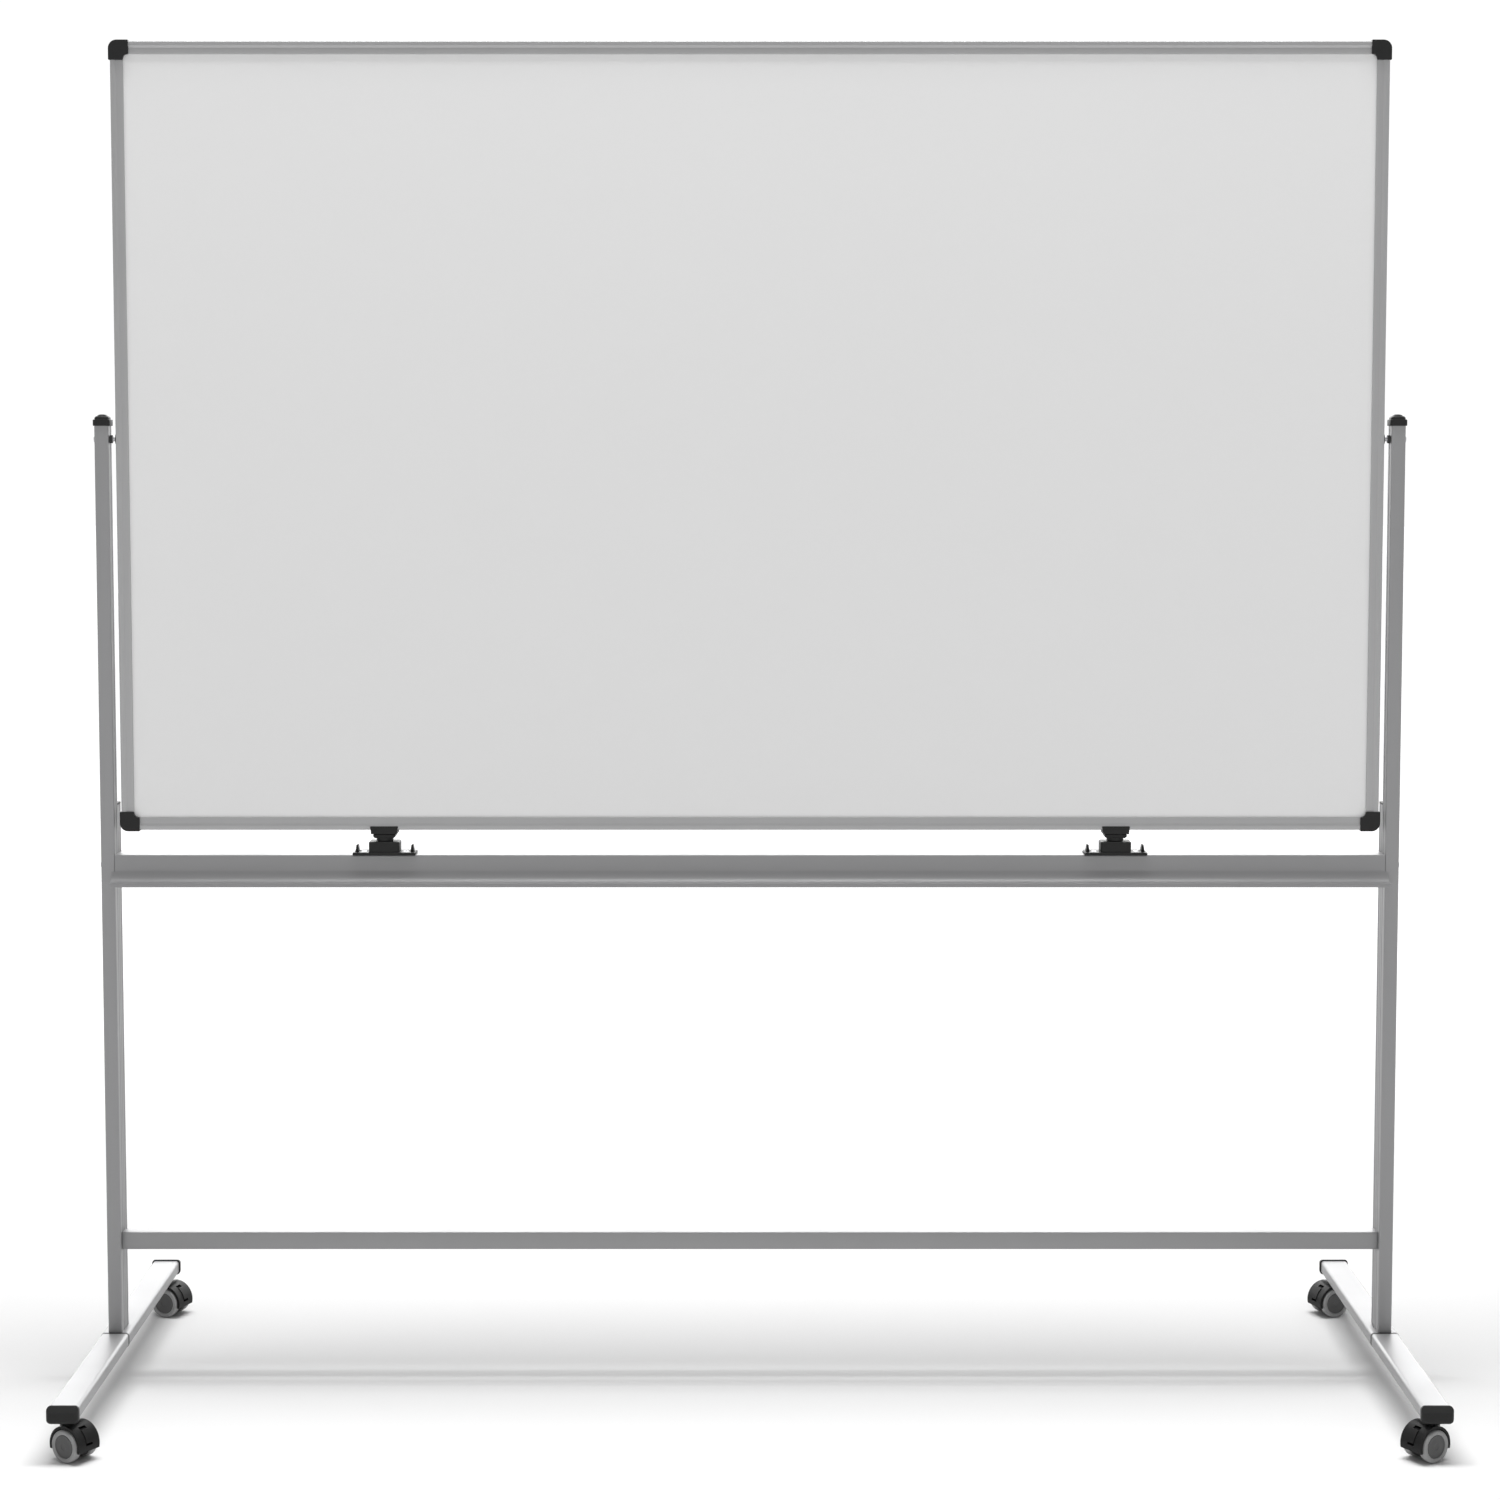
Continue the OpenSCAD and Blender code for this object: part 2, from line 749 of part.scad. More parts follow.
module hood_front_left() { color(BLACK) at_caster(-1, -1) hood(); }
module hood_front_right() { color(BLACK) at_caster(1, -1) hood(); }
module hood_rear_left() { color(BLACK) at_caster(-1, 1) hood(); }
module hood_rear_right() { color(BLACK) at_caster(1, 1) hood(); }

module axle() {
    on_axle(axle_r, -wheel_out + 2.5, wheel_out - 2.5);
}

module axle_front_left() { color(STEEL) at_caster(-1, -1) axle(); }
module axle_front_right() { color(STEEL) at_caster(1, -1) axle(); }
module axle_rear_left() { color(STEEL) at_caster(-1, 1) axle(); }
module axle_rear_right() { color(STEEL) at_caster(1, 1) axle(); }

// A paddle flush with the hood, on an arm with two trunnions
module brake_lever() {
    intersection() {
        difference() {
            on_axle(hood_r + 1, -5.6, 5.6);
            on_axle(hood_r - 3, -6, 6);
        }
        translate([trail + 10, -6, wheel_r + 5]) cube([40, 12, 16.5]);
    }
    translate([lever_x, -5.6, lever_z]) rotate([-90, 0, 0]) cylinder(r = 3, h = 11.2);
    translate([lever_x, -5.6, lever_z - 1.5]) cube([6.5, 11.2, 4]);
    translate([lever_x, -web_half + 0.4, lever_z]) rotate([-90, 0, 0])
        cylinder(r = lever_r, h = 2 * web_half - 0.8);
}

module brake_lever_front_left() { color(DARK_GREY) at_caster(-1, -1) brake_lever(); }
module brake_lever_front_right() { color(DARK_GREY) at_caster(1, -1) brake_lever(); }
module brake_lever_rear_left() { color(DARK_GREY) at_caster(-1, 1) brake_lever(); }
module brake_lever_rear_right() { color(DARK_GREY) at_caster(1, 1) brake_lever(); }

// Wheels: the outer one of a caster is the one towards its -Y end
module hub() {
    difference() {
        union() {
            on_axle(hub_r, -wheel_out + 1, -wheel_in - 0.6);
            on_axle(hub_r - 2.5, -wheel_out + 0.4, -wheel_in);
        }
        on_axle(hub_r - 4, -wheel_out - 1, -wheel_out + 1.2);
        on_axle(axle_r + play, -wheel_out + 2.2, 0);
    }
}

module tyre() {
    difference() {
        union() {
            on_axle(wheel_r, -wheel_out + 1.5, -wheel_in - 1.5);
            on_axle(wheel_r - 1.2, -wheel_out, -wheel_in - 0.6);
        }
        on_axle(hub_r + play, -50, 0);
    }
}

module other_wheel() {
    mirror([0, 1, 0]) children();
}

module hub_front_left_outer() { color(DARK_GREY) at_caster(-1, -1) hub(); }
module hub_front_left_inner() { color(DARK_GREY) at_caster(-1, -1) other_wheel() hub(); }
module hub_front_right_outer() { color(DARK_GREY) at_caster(1, -1) hub(); }
module hub_front_right_inner() { color(DARK_GREY) at_caster(1, -1) other_wheel() hub(); }
module hub_rear_left_outer() { color(DARK_GREY) at_caster(-1, 1) hub(); }
module hub_rear_left_inner() { color(DARK_GREY) at_caster(-1, 1) other_wheel() hub(); }
module hub_rear_right_outer() { color(DARK_GREY) at_caster(1, 1) hub(); }
module hub_rear_right_inner() { color(DARK_GREY) at_caster(1, 1) other_wheel() hub(); }

module tyre_front_left_outer() { color(TYRE_GREY) at_caster(-1, -1) tyre(); }
module tyre_front_left_inner() { color(TYRE_GREY) at_caster(-1, -1) other_wheel() tyre(); }
module tyre_front_right_outer() { color(TYRE_GREY) at_caster(1, -1) tyre(); }
module tyre_front_right_inner() { color(TYRE_GREY) at_caster(1, -1) other_wheel() tyre(); }
module tyre_rear_left_outer() { color(TYRE_GREY) at_caster(-1, 1) tyre(); }
module tyre_rear_left_inner() { color(TYRE_GREY) at_caster(-1, 1) other_wheel() tyre(); }
module tyre_rear_right_outer() { color(TYRE_GREY) at_caster(1, 1) tyre(); }
module tyre_rear_right_inner() { color(TYRE_GREY) at_caster(1, 1) other_wheel() tyre(); }

// ---- the pieces ----

frame_top();
frame_bottom();
frame_left();
frame_right();
corner_caps();
front_panel();
rear_panel();
board_core();
pivot_bushes();
strike_shoes();
leg_left();
leg_right();
leg_stiffeners();
leg_end_caps();
leg_plugs();
tray_beam();
lower_crossbar();
foot_front_left();
foot_front_right();
foot_rear_left();
foot_rear_right();
foot_joiners();
foot_end_caps();
pivot_bolts();
pivot_nuts();
stand_screws();
latch_bases();
latch_rings();
latch_screws();
latch_head_left();
latch_head_right();
caster_stems();
hood_front_left();
hood_front_right();
hood_rear_left();
hood_rear_right();
axle_front_left();
axle_front_right();
axle_rear_left();
axle_rear_right();
brake_lever_front_left();
brake_lever_front_right();
brake_lever_rear_left();
brake_lever_rear_right();
hub_front_left_outer();
hub_front_left_inner();
hub_front_right_outer();
hub_front_right_inner();
hub_rear_left_outer();
hub_rear_left_inner();
hub_rear_right_outer();
hub_rear_right_inner();
tyre_front_left_outer();
tyre_front_left_inner();
tyre_front_right_outer();
tyre_front_right_inner();
tyre_rear_left_outer();
tyre_rear_left_inner();
tyre_rear_right_outer();
tyre_rear_right_inner();
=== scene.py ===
"""Looks of the rolling whiteboard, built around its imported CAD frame.

Metres. +Z is up, the front faces -Y and X points right.
"""
import json
import math

import bmesh
import bpy
from mathutils import Matrix, Vector

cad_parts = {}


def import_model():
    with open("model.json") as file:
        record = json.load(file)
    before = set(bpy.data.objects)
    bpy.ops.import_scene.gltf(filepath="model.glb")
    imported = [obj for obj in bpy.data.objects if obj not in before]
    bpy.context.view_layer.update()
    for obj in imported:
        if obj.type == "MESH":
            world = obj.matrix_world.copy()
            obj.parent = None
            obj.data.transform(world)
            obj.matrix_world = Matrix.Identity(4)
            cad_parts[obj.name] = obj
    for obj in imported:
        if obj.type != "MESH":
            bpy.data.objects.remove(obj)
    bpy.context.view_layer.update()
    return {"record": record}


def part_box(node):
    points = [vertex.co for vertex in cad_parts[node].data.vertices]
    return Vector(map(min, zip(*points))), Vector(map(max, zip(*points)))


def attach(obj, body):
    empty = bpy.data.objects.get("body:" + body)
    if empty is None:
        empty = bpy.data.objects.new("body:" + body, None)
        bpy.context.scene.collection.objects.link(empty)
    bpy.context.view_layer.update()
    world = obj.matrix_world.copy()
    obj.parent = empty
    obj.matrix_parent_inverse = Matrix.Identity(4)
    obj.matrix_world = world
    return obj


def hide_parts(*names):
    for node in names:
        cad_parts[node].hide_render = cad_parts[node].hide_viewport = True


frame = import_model()

MM = 0.001
NODES = {o.name: o for o in bpy.data.objects if o.type == "MESH"}
JOINTS = {joint["name"]: joint for joint in frame["record"]["behaviour"]["joints"]}
X, Y, Z = Vector((1, 0, 0)), Vector((0, 1, 0)), Vector((0, 0, 1))
SIDES = (("left", -1), ("right", 1))
CORNERS = ("front_left", "front_right", "rear_left", "rear_right")


# ---- mesh helpers ----

STRAIGHT = math.pi - 0.02   # outline corners flatter than this stay as they are
RIM_STEPS = 6
CROWN_STEPS = 6


def place(origin, x, y):
    """Matrix that puts local x and y along the given directions and local z along their cross product."""
    x, y = Vector(x), Vector(y)
    z = x.cross(y)
    m = Matrix((x, y, z)).transposed().to_4x4()
    m.translation = Vector(origin)
    return m


def rounded(points, radius=0, steps=5):
    """A closed outline with its corners rounded; a point may carry its own radius as a third value."""
    out = []
    for i, point in enumerate(points):
        r = point[2] if len(point) > 2 else radius
        before = Vector(points[i - 1][:2])
        here = Vector(point[:2])
        after = Vector(points[(i + 1) % len(points)][:2])
        u = (before - here).normalized()
        v = (after - here).normalized()
        corner = u.angle(v)
        if r <= 0 or corner > STRAIGHT:
            out.append(here)
            continue
        centre = here + (u + v).normalized() * (r / math.sin(corner / 2))
        start = here + u * (r / math.tan(corner / 2)) - centre
        end = here + v * (r / math.tan(corner / 2)) - centre
        first = math.atan2(start.y, start.x)
        turn = (math.atan2(end.y, end.x) - first + math.pi) % math.tau - math.pi
        for k in range(steps + 1):
            t = first + turn * k / steps
            out.append(centre + Vector((math.cos(t), math.sin(t))) * r)
    return out


def rectangle(w, h, r, steps=5):
    """A rounded rectangle about the origin."""
    return rounded([(-w / 2, -h / 2), (w / 2, -h / 2), (w / 2, h / 2), (-w / 2, h / 2)], r, steps)


def arc(cy, cz, r, a0, a1, steps):
    """Points along an arc from angle a0 to a1."""
    return [(cy + r * math.cos(a0 + (a1 - a0) * k / steps), cz + r * math.sin(a0 + (a1 - a0) * k / steps))
            for k in range(steps + 1)]


def shade(mesh, degrees=35):
    """Smooth shading, with edges sharper than the angle kept sharp."""
    mesh.shade_smooth()
    mesh.set_sharp_from_angle(angle=math.radians(degrees))


def finish_mesh(bm, name, matrix=None, degrees=35):
    """Turns the working mesh into an object in the scene."""
    bmesh.ops.remove_doubles(bm, verts=bm.verts, dist=1e-7)
    if matrix is not None:
        bmesh.ops.transform(bm, matrix=matrix, verts=bm.verts)
    bmesh.ops.recalc_face_normals(bm, faces=bm.faces)
    mesh = bpy.data.meshes.new(name)
    bm.to_mesh(mesh)
    bm.free()
    shade(mesh, degrees)
    obj = bpy.data.objects.new(name, mesh)
    bpy.context.collection.objects.link(obj)
    return obj


def loft(name, sections, matrix=None):
    """Joins outlines, each a list of 3-D points of the same length, and closes both ends."""
    bm = bmesh.new()
    rings = [[bm.verts.new(p) for p in points] for points in sections]
    n = len(rings[0])
    for a, b in zip(rings, rings[1:]):
        for i in range(n):
            bm.faces.new((a[i], a[(i + 1) % n], b[(i + 1) % n], b[i]))
    bm.faces.new(rings[0])
    bm.faces.new(rings[-1])
    return finish_mesh(bm, name, matrix)


def soften(obj, width, segments=3, angle=40):
    """Rounds the edges that are sharper than the angle."""
    bevel = obj.modifiers.new("Edges", "BEVEL")
    bevel.width = width
    bevel.segments = segments
    bevel.limit_method = "ANGLE"
    bevel.angle_limit = math.radians(angle)
    bevel.harden_normals = True
    return obj


def prism(name, outline, z0, z1, matrix=None, edge=0.0):
    """An outline pushed from z0 to z1; edge rounds both ends with a bevel modifier."""
    sections = [[(p[0], p[1], z) for p in outline] for z in (z0, z1)]
    obj = loft(name, sections, matrix)
    if edge:
        soften(obj, edge)
    return obj


def pillow(name, w, h, r, z0, z1, matrix, edge0, edge1, crown=0.0):
    """A rounded bar with each end's rim rounded by its own radius, and its far end crowned."""
    levels = []
    for k in range(RIM_STEPS + 1):
        t = math.pi / 2 * k / RIM_STEPS
        levels.append((edge0 * (1 - math.sin(t)), z0 + edge0 * (1 - math.cos(t))))
    for k in range(RIM_STEPS + 1):
        t = math.pi / 2 * (1 - k / RIM_STEPS)
        levels.append((edge1 * (1 - math.sin(t)), z1 - edge1 * (1 - math.cos(t))))
    rings = []
    for inset, z in levels:
        corner = max(r - inset * 0.6, 0.2 * MM)
        rings.append([(p.x, p.y, z) for p in rectangle(w - 2 * inset, h - 2 * inset, corner)])
    if crown:
        rim = rings[-1]
        for k in range(1, CROWN_STEPS):
            t = math.pi / 2 * k / CROWN_STEPS
            z = z1 + crown * math.sin(t)
            rings.append([(x * math.cos(t), y * math.cos(t), z) for x, y, _ in rim])
    return loft(name, rings, matrix)


def lathe(name, profile, matrix=None, segments=96):
    """Turns a closed outline of (radius, height) pairs about local z."""
    bm = bmesh.new()
    rings = []
    for r, z in profile:
        if r < 1e-9:
            rings.append([bm.verts.new((0, 0, z))])
        else:
            rings.append([bm.verts.new((r * math.cos(math.tau * i / segments),
                                        r * math.sin(math.tau * i / segments), z))
                          for i in range(segments)])
    for a, b in zip(rings, rings[1:] + rings[:1]):
        if len(a) == 1 and len(b) == 1:
            continue
        for i in range(segments):
            j = (i + 1) % segments
            quad = [a[i % len(a)], a[j % len(a)], b[j % len(b)], b[i % len(b)]]
            bm.faces.new(list(dict.fromkeys(quad)))
    return finish_mesh(bm, name, matrix, degrees=32)


def cylinder(r, z0, z1):
    """Profile of a plain solid cylinder, for lathe."""
    return [(0, z0), (r, z0), (r, z1), (0, z1)]


def apply_all(obj):
    """Turns the object's modifiers into its mesh."""
    bpy.context.view_layer.update()
    graph = bpy.context.evaluated_depsgraph_get()
    mesh = bpy.data.meshes.new_from_object(obj.evaluated_get(graph))
    obj.modifiers.clear()
    old = obj.data
    obj.data = mesh
    bpy.data.meshes.remove(old)


def boolean(obj, other, operation):
    """Applies one boolean with a helper object and removes the helper."""
    cut = obj.modifiers.new("Cut", "BOOLEAN")
    cut.operation = operation
    cut.solver = "EXACT"
    cut.object = other
    apply_all(obj)
    bpy.data.objects.remove(other)
    return obj


def copy_of(obj, name, matrix):
    """A copy of the object at the matrix, which may mirror it."""
    mesh = obj.data.copy()
    mesh.transform(matrix)
    if matrix.determinant() < 0:
        mesh.flip_normals()
    other = bpy.data.objects.new(name, mesh)
    bpy.context.collection.objects.link(other)
    for mod in obj.modifiers:
        soften(other, mod.width, mod.segments, math.degrees(mod.angle_limit))
    return other


def dress(obj, body, slot, mat, *nodes):
    """Rides the piece on its body, gives it its material and hides the nodes that it stands for. The slot is
    not used.
    """
    obj.data.materials.clear()
    obj.data.materials.append(mat)
    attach(obj, body)
    if nodes:
        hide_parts(*nodes)


# ---- materials ----

def set_inputs(node, **values):
    """Sets a node's sockets; an underscore in a key stands for a space."""
    for key, value in values.items():
        node.inputs[key.replace("_", " ")].default_value = value


def shader(name, colour, metallic=0.0, roughness=0.5, specular=0.5, grain=900, bump=0.1, depth=0.1 * MM,
           stretch=(1, 1, 1), tone=0.04, rough_span=0.08, wear=0.0, blotch=6.0):
    """A procedural surface: fine grain in the bump, slow change in tone and gloss, worn edges."""
    mat = bpy.data.materials.new(name)
    mat.use_nodes = True
    nodes, link = mat.node_tree.nodes, mat.node_tree.links.new
    bsdf = nodes["Principled BSDF"]
    set_inputs(bsdf, Metallic=metallic, Specular_IOR_Level=specular)
    coords = nodes.new("ShaderNodeTexCoord")
    mapping = nodes.new("ShaderNodeMapping")
    set_inputs(mapping, Scale=stretch)
    link(coords.outputs["Object"], mapping.inputs["Vector"])

    fine = nodes.new("ShaderNodeTexNoise")
    set_inputs(fine, Scale=grain, Detail=3)
    link(mapping.outputs["Vector"], fine.inputs["Vector"])
    relief = nodes.new("ShaderNodeBump")
    set_inputs(relief, Strength=bump, Distance=depth)
    link(fine.outputs["Fac"], relief.inputs["Height"])
    link(relief.outputs["Normal"], bsdf.inputs["Normal"])

    slow = nodes.new("ShaderNodeTexNoise")
    set_inputs(slow, Scale=blotch, Detail=5, Roughness=0.6)
    link(coords.outputs["Object"], slow.inputs["Vector"])
    gloss = nodes.new("ShaderNodeMapRange")
    set_inputs(gloss, From_Min=0.3, From_Max=0.7, To_Min=roughness - rough_span / 2,
               To_Max=roughness + rough_span / 2)
    link(slow.outputs["Fac"], gloss.inputs["Value"])
    link(gloss.outputs["Result"], bsdf.inputs["Roughness"])

    ramp = nodes.new("ShaderNodeValToRGB")
    darker, lighter = ramp.color_ramp.elements
    darker.position = 0.3
    lighter.position = 0.7
    darker.color = [c * (1 - tone) for c in colour] + [1]
    lighter.color = [min(c * (1 + tone), 1) for c in colour] + [1]
    blend = nodes.new("ShaderNodeMix")
    set_inputs(blend, Factor=0.5)
    link(slow.outputs["Fac"], blend.inputs["A"])
    link(fine.outputs["Fac"], blend.inputs["B"])
    link(blend.outputs["Result"], ramp.inputs["Fac"])
    last = ramp.outputs["Color"]
    if wear:
        shape = nodes.new("ShaderNodeNewGeometry")
        edge = nodes.new("ShaderNodeMapRange")
        set_inputs(edge, From_Min=0.53, From_Max=0.62, To_Max=wear)
        link(shape.outputs["Pointiness"], edge.inputs["Value"])
        worn = nodes.new("ShaderNodeMix")
        worn.data_type = "RGBA"
        link(edge.outputs["Result"], worn.inputs["Factor"])
        link(last, worn.inputs["A"])
        set_inputs(worn, B=[min(c * 1.6 + 0.05, 1) for c in colour] + [1])
        last = worn.outputs["Result"]
    link(last, bsdf.inputs["Base Color"])
    return mat


def anodised(name, stretch):
    """Brushed aluminium, its grain drawn out along the axis with the small scale."""
    return shader(name, (0.37, 0.37, 0.37 * 1.01), metallic=0.55, roughness=0.42, grain=900, bump=0.12,
                  depth=0.05 * MM, stretch=stretch, tone=0.03, rough_span=0.07, wear=0.25)


def powder_coat(name, grey, metallic, roughness):
    """Silver paint, faintly blue."""
    return shader(name, (grey, grey, grey + 0.004), metallic=metallic, roughness=roughness, grain=1100,
                  bump=0.22, depth=0.08 * MM, tone=0.035, rough_span=0.08, wear=0.2)


FRAME_X = anodised("anodised_along_x", (0.02, 1, 1))
FRAME_Z = anodised("anodised_along_z", (1, 1, 0.02))
COAT = powder_coat("silver_powder_coat", 0.28, 0.45, 0.44)
# The feet's coat is the stand's coat, rougher and less metallic, and a shade lighter: the lighter grey is
# painted light that brightens the feet's tops.
FOOT_COAT_PAINTED_LIGHTER = powder_coat("silver_powder_coat_feet_painted_lighter", 0.3, 0.4, 0.48)
ENAMEL = shader("white_enamel", (0.83, 0.83, 0.83), roughness=0.3, specular=0.35, grain=160, bump=0.05,
                depth=0.02 * MM, tone=0.004, rough_span=0.03, blotch=3.0)
BLACK = shader("black_plastic", (0.016, 0.016, 0.016), roughness=0.5, specular=0.25, grain=2200,
               bump=0.3, depth=0.06 * MM, tone=0.12, rough_span=0.12, blotch=40)
HOOD = shader("hood_plastic", (0.01, 0.01, 0.01), roughness=0.4, specular=0.14, grain=2400,
              bump=0.2, depth=0.05 * MM, tone=0.12, rough_span=0.12, blotch=60)
HUB = shader("hub_plastic", (0.08, 0.08, 0.08), roughness=0.45, specular=0.4, grain=2400,
             bump=0.2, depth=0.05 * MM, tone=0.1, rough_span=0.1, wear=0.3, blotch=60)
TREAD = shader("grey_tread", (0.3, 0.3, 0.3), roughness=0.6, specular=0.35, grain=1800,
               bump=0.35, depth=0.08 * MM, tone=0.1, rough_span=0.15, wear=0.2, blotch=80)
STEEL = shader("zinc_plated_steel", (0.5, 0.5, 0.52), metallic=1.0, roughness=0.35, grain=1500,
               bump=0.15, depth=0.04 * MM, tone=0.06, rough_span=0.15, blotch=90)
OXIDE = shader("blackened_steel", (0.035, 0.035, 0.036), metallic=0.6, roughness=0.45, grain=1500,
               bump=0.15, depth=0.04 * MM, tone=0.1, rough_span=0.15, wear=0.3, blotch=90)
CORE = shader("core_board", (0.62, 0.58, 0.5), roughness=0.7, grain=500, bump=0.4, depth=0.2 * MM,
              blotch=20)
RUBBER = shader("ring_rubber", (0.02, 0.02, 0.02), roughness=0.6, grain=2500, bump=0.3, blotch=80)


# ---- CAD nodes that keep their own shape ----

CARRIED_OVER = [("pivot_bolts", STEEL), ("pivot_nuts", OXIDE), ("stand_screws", STEEL),
                ("latch_screws", STEEL), ("caster_stems", STEEL), ("pivot_bushes", BLACK),
                ("board_core", CORE), ("latch_rings", RUBBER), ("leg_plugs", BLACK)]
CARRIED_OVER += [("axle_" + corner, STEEL) for corner in CORNERS]

for node, mat in CARRIED_OVER:
    for slot in NODES[node].material_slots:
        slot.material = mat
    shade(NODES[node].data, 32)


# ---- board ----

PIVOT = Vector(JOINTS["board_flip"]["pos_m"])
BOARD_W = -2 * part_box("frame_left")[0].x
BOARD_H = 2 * (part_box("frame_top")[1].z - PIVOT.z)
FACE = 18 * MM        # width of a frame bar as seen from the front
BAR_END = 16 * MM     # each bar ends this far from the board's corner, inside the cap
CAP_LEG = 26 * MM
CAP_SKIN = 2 * MM
CAP_HALF = 13 * MM    # half of a corner cap's depth


def bar_outline():
    """A bar's section, from its outer edge inwards; the slot takes the sheets and the core."""
    ridge = 11 * MM
    ridge_end = 6 * MM
    flat = 9.4 * MM
    flat_start = 9 * MM
    slot = 7.05 * MM
    half = [(0, ridge, 1.6 * MM), (ridge_end, ridge, 1.2 * MM), (flat_start, flat, 1.0 * MM),
            (FACE, flat, 0.6 * MM), (FACE, slot, 0.2 * MM), (ridge_end, slot, 0)]
    front = [(x, -y, r) for x, y, r in half]
    return rounded(front + half[::-1], steps=4)


def frame_bar(name, inward, mat):
    """One bar of the board's frame; inward points from its outer edge to the board's middle."""
    side = abs(inward.x) > 0.5
    out = (BOARD_W if side else BOARD_H) / 2
    length = (BOARD_H if side else BOARD_W) - 2 * BAR_END
    bar = prism(name, bar_outline(), -length / 2, length / 2, place(PIVOT - inward * out, inward, Y))
    dress(bar, "board", "frame", mat, name)


def writing_sheet(name):
    """One enamelled sheet, in the bars' slots."""
    lo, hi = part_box(name)
    half = (hi.y - lo.y) / 2
    sheet = prism(name + "_sheet", rectangle(hi.x - lo.x, hi.z - lo.z, 1 * MM), -half, half,
                  place((lo + hi) / 2, X, Z))
    dress(sheet, "board", "writing_surface", ENAMEL, name)


def corner_cap(name, sx, sz):
    """An L-shaped cap whose two legs wrap the ends of two bars."""
    outline = rounded([(-CAP_SKIN, -CAP_SKIN, 12 * MM), (CAP_LEG, -CAP_SKIN, 1 * MM),
                       (CAP_LEG, FACE, 0.8 * MM), (FACE, FACE, 7 * MM), (FACE, CAP_LEG, 0.8 * MM),
                       (-CAP_SKIN, CAP_LEG, 1 * MM)], steps=10)
    origin = PIVOT + Vector((sx * BOARD_W / 2, 0, sz * BOARD_H / 2))
    cap = prism("corner_cap_" + name, outline, -CAP_HALF, CAP_HALF,
                place(origin, (-sx, 0, 0), (0, 0, -sz)), edge=1.4 * MM)
    dress(cap, "board", "corner_cap", BLACK, "corner_caps")


frame_bar("frame_left", X, FRAME_Z)
frame_bar("frame_right", -X, FRAME_Z)
frame_bar("frame_bottom", Z, FRAME_X)
frame_bar("frame_top", -Z, FRAME_X)
writing_sheet("front_panel")
writing_sheet("rear_panel")
for level, sz in (("bottom", -1), ("top", 1)):
    for side, sx in SIDES:
        corner_cap(level + "_" + side, sx, sz)


# ---- stand ----

def upright(name, x, y, w, d, z0, z1, groove):
    """A standing tube with a shallow groove down each side."""
    deep = 0.5 * MM
    r = 2 * MM
    lip = 0.4 * MM
    g = groove / 2
    hw, hd = w / 2, d / 2
    outline = rounded([
        (-hw, -hd, r), (hw, -hd, r), (hw, -g - deep, lip), (hw - deep, -g, lip),
        (hw - deep, g, lip), (hw, g + deep, lip), (hw, hd, r), (-hw, hd, r),
        (-hw, g + deep, lip), (-hw + deep, g, lip), (-hw + deep, -g, lip), (-hw, -g - deep, lip)], steps=4)
    return prism(name, outline, z0, z1, Matrix.Translation((x, y, 0)))


def leg(side):
    """A pivot leg with its cap, and the shorter stiffener behind it with its plug."""
    lo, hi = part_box("leg_" + side)
    rear_lo, rear_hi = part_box("leg_stiffeners")
    x, y = (lo.x + hi.x) / 2, (lo.y + hi.y) / 2
    rear_y = (rear_lo.y + rear_hi.y) / 2
    tube = upright("leg_" + side + "_tube", x, y, hi.x - lo.x, hi.y - lo.y, lo.z, hi.z, 8 * MM)
    dress(tube, "stand", "stand_tube", COAT, "leg_" + side)
    rear = upright("stiffener_" + side, x, rear_y, hi.x - lo.x, rear_hi.y - rear_lo.y,
                   rear_lo.z, rear_hi.z, 7 * MM)
    dress(rear, "stand", "stand_tube", COAT, "leg_stiffeners")
    cap = pillow("leg_cap_" + side, 24 * MM, 29 * MM, 4 * MM, 0, 9 * MM,
                 Matrix.Translation((x, y, hi.z)), 0.8 * MM, 1.0 * MM)
    dress(cap, "stand", "black_cap", BLACK, "leg_end_caps")
    dome = pillow("leg_cap_dome_" + side, 21 * MM, 26 * MM, 7 * MM, 0, 5.5 * MM,
                  Matrix.Translation((x, y - 0.5 * MM, hi.z + 8.5 * MM)), 0.1 * MM, 4 * MM, crown=2.6 * MM)
    dress(dome, "stand", "black_cap", BLACK)
    plug = pillow("stiffener_plug_" + side, 20 * MM, 21.6 * MM, 2 * MM, 0, 3 * MM,
                  Matrix.Translation((x, rear_y, rear_hi.z)), 0.2 * MM, 0.8 * MM)
    dress(plug, "stand", "black_cap", BLACK)


for side, _ in SIDES:
    leg(side)

# Tray beam: a box section with a gutter in front of it
BEAM_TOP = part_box("tray_beam")[1].z
BEAM_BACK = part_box("tray_beam")[1].y
BEAM_FRONT = -BEAM_BACK
BEAM_H = 31 * MM
BEAM_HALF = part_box("leg_right")[0].x          # the box ends at the legs
GUTTER_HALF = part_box("tray_beam")[1].x        # the gutter runs on past them
GUTTER_R = 20 * MM
GUTTER_DROP = 21 * MM                         # from the beam's top to the gutter's centre
GUTTER_REACH = 26.5 * MM                      # from the beam's front to the lip's outer face
LIP_H = 4 * MM
SHEET = 2 * MM                                # thickness of the gutter's wall


